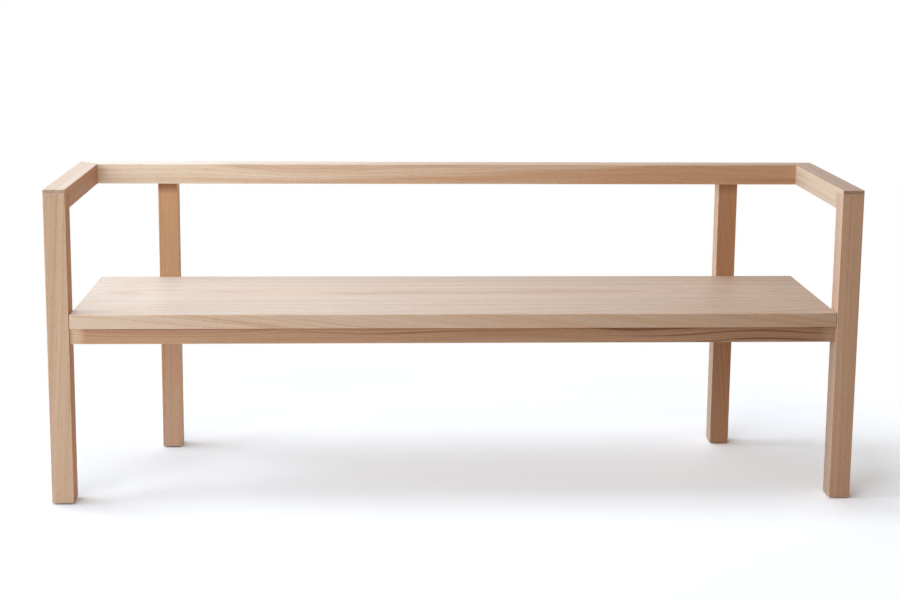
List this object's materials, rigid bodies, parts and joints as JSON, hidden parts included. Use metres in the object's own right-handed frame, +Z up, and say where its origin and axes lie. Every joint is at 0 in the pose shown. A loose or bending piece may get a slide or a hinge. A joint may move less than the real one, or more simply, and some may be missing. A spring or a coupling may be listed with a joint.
{
  "type": "bench",
  "caption": "Long plain wooden bench with square posts, level arms mitred to one back rail, and a thick board seat over slim aprons.",
  "frame": {"origin": "on the floor, under the middle of the bench", "axes": "+X along the bench, to the right of someone who faces it; -Y is the front; +Z is up"},
  "size_m": [1.8, 0.44, 0.712],
  "materials": {
    "pale_wood": "matt clear oil",
    "dowel_wood": "raw beech",
    "zinc_steel": "zinc plated",
    "pad_plastic": "matt"
  },
  "bodies": {
    "root": {"front_leg_left": "pale_wood", "front_leg_right": "pale_wood", "back_leg_left": "pale_wood", "back_leg_right": "pale_wood", "arm_left": "pale_wood", "arm_right": "pale_wood", "back_rail": "pale_wood", "seat_stave_1": "pale_wood", "seat_stave_2": "pale_wood", "seat_stave_3": "pale_wood", "seat_stave_4": "pale_wood", "seat_stave_5": "pale_wood", "seat_stave_6": "pale_wood", "front_apron": "pale_wood", "rear_apron": "pale_wood", "cross_rail_left_end": "pale_wood", "cross_rail_left_middle": "pale_wood", "cross_rail_right_middle": "pale_wood", "cross_rail_right_end": "pale_wood", "arm_dowels": "dowel_wood", "back_leg_dowels": "dowel_wood", "apron_dowels": "dowel_wood", "cross_rail_dowels": "dowel_wood", "mitre_tenons": "dowel_wood", "leg_bolts": "zinc_steel", "leg_bolt_washers": "zinc_steel", "leg_bolt_inserts": "zinc_steel", "seat_screws": "zinc_steel", "seat_screw_washers": "zinc_steel", "glide_nails": "zinc_steel", "glide_pads": "pad_plastic"}
  },
  "joints": []
}
